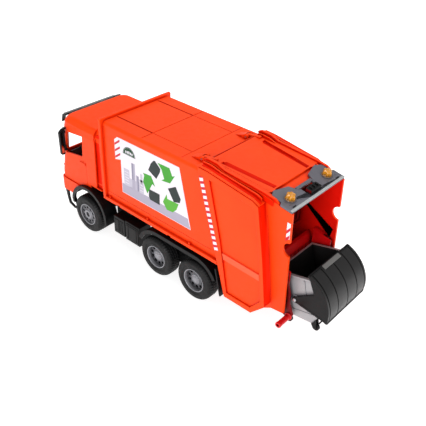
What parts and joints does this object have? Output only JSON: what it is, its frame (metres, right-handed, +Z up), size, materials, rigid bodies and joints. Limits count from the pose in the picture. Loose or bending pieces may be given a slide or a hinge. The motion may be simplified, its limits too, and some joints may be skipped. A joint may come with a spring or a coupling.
{
  "type": "toy rear-loading refuse truck",
  "caption": "Toy three-axle refuse truck with a hinged rear loader, a swinging packer plate, a sliding ejector and a wheeled container with a round lid on a tipping lift.",
  "frame": {"origin": "centre of the whole truck's outline, on the ground", "axes": "+X to the cab, +Y to the truck's left side, +Z up"},
  "size_m": [0.7249, 0.225, 0.317],
  "materials": {
    "orange_plastic": "satin moulded plastic",
    "red_plastic": "satin moulded plastic",
    "black_plastic": "fine-grained moulded plastic",
    "tyre_rubber": "soft matt plastic with moulded tread",
    "silver_plastic": "satin grey plastic",
    "bin_grey_plastic": "satin moulded plastic",
    "lid_grey_plastic": "fine-grained moulded plastic",
    "grip_grey_plastic": "fine-grained moulded plastic",
    "amber_plastic": "clear-looking amber plastic, made solid",
    "label_film": "printed self-adhesive film",
    "steel": "drawn steel wire"
  },
  "bodies": {
    "truck": {"chassis_frame": "black_plastic", "front_axle_beam": "black_plastic", "rear_bogie": "black_plastic", "body_mounts": "black_plastic", "front_mudguards": "black_plastic", "rear_mudguards": "black_plastic", "mud_flaps": "black_plastic", "side_boxes": "black_plastic", "cab_steps": "black_plastic", "front_bumper": "black_plastic", "headlights": "silver_plastic", "cab_shell": "orange_plastic", "radiator_grille": "black_plastic", "sun_visor": "black_plastic", "dashboard": "black_plastic", "steering_wheel": "black_plastic", "cab_seats": "black_plastic", "mirror_mounts": "black_plastic", "body_shell": "orange_plastic", "body_front_wall": "orange_plastic", "body_floor": "orange_plastic", "side_decals": "label_film", "hinge_pins": "steel", "chassis_screws": "steel"},
    "tailgate": {"tailgate_walls": "orange_plastic", "tailgate_panels": "orange_plastic", "tailgate_roof": "orange_plastic", "hopper_tub": "red_plastic", "edge_decals": "label_film", "light_plate": "silver_plastic", "beacons": "amber_plastic", "lift_pivots": "steel", "lift_covers": "red_plastic"},
    "packer": {"packer_shaft": "steel", "packer_plate": "black_plastic"},
    "lift": {"lift_arms": "red_plastic", "lift_cross_bar": "red_plastic", "lift_handles": "red_plastic", "bin_tub": "bin_grey_plastic", "bin_pins": "steel", "bin_trunnions": "black_plastic", "castor_forks": "black_plastic"},
    "lid": {"bin_lid": "lid_grey_plastic", "lid_grip": "grip_grey_plastic"},
    "front_castors": {"front_castor_wheels": "black_plastic"},
    "rear_castors": {"rear_castor_wheels": "black_plastic"},
    "ejector": {"ejector_plate": "red_plastic", "ejector_handle": "red_plastic"},
    "front_wheelset": {"front_axle": "steel", "front_rims": "silver_plastic", "front_tyres": "tyre_rubber"},
    "middle_wheelset": {"middle_axle": "steel", "middle_rims": "silver_plastic", "middle_tyres": "tyre_rubber"},
    "rear_wheelset": {"rear_axle": "steel", "rear_rims": "silver_plastic", "rear_tyres": "tyre_rubber"},
    "left_mirror_arm": {"left_mirror": "black_plastic"},
    "right_mirror_arm": {"right_mirror": "black_plastic"}
  },
  "joints": [
    {"name": "tailgate_hinge", "type": "hinge", "parent": "truck", "child": "tailgate", "pos_m": [-0.062, 0, 0.3035], "axis": [0, 1, 0], "range_deg": [0, 70]},
    {"name": "packer_swing", "type": "hinge", "parent": "tailgate", "child": "packer", "pos_m": [-0.236, 0, 0.272], "axis": [0, 1, 0], "range_deg": [0, 18]},
    {"name": "lift_swing", "type": "hinge", "parent": "tailgate", "child": "lift", "pos_m": [-0.262, 0, 0.15], "axis": [0, 1, 0], "range_deg": [0, 105]},
    {"name": "lid_turn", "type": "hinge", "parent": "lift", "child": "lid", "pos_m": [-0.2905, 0, 0.0998], "axis": [0, 1, 0], "range_deg": [0, 72]},
    {"name": "front_castor_roll", "type": "hinge", "parent": "lift", "child": "front_castors", "pos_m": [-0.2785, 0, 0.04027], "axis": [0, 1, 0], "continuous": true},
    {"name": "rear_castor_roll", "type": "hinge", "parent": "lift", "child": "rear_castors", "pos_m": [-0.33646, 0, 0.05579], "axis": [0, 1, 0], "continuous": true},
    {"name": "ejector_slide", "type": "slide", "parent": "truck", "child": "ejector", "axis": [1, 0, 0], "range_m": [-0.19, 0]},
    {"name": "front_wheel_roll", "type": "hinge", "parent": "truck", "child": "front_wheelset", "pos_m": [0.255, 0, 0.046], "axis": [0, 1, 0], "continuous": true},
    {"name": "middle_wheel_roll", "type": "hinge", "parent": "truck", "child": "middle_wheelset", "pos_m": [0.029, 0, 0.046], "axis": [0, 1, 0], "continuous": true},
    {"name": "rear_wheel_roll", "type": "hinge", "parent": "truck", "child": "rear_wheelset", "pos_m": [-0.08, 0, 0.046], "axis": [0, 1, 0], "continuous": true},
    {"name": "left_mirror_fold", "type": "hinge", "parent": "truck", "child": "left_mirror_arm", "pos_m": [0.326, 0.0995, 0.2], "axis": [0, 0, 1], "range_deg": [0, 60]},
    {"name": "right_mirror_fold", "type": "hinge", "parent": "truck", "child": "right_mirror_arm", "pos_m": [0.326, -0.0995, 0.2], "axis": [0, 0, -1], "range_deg": [0, 60]}
  ]
}
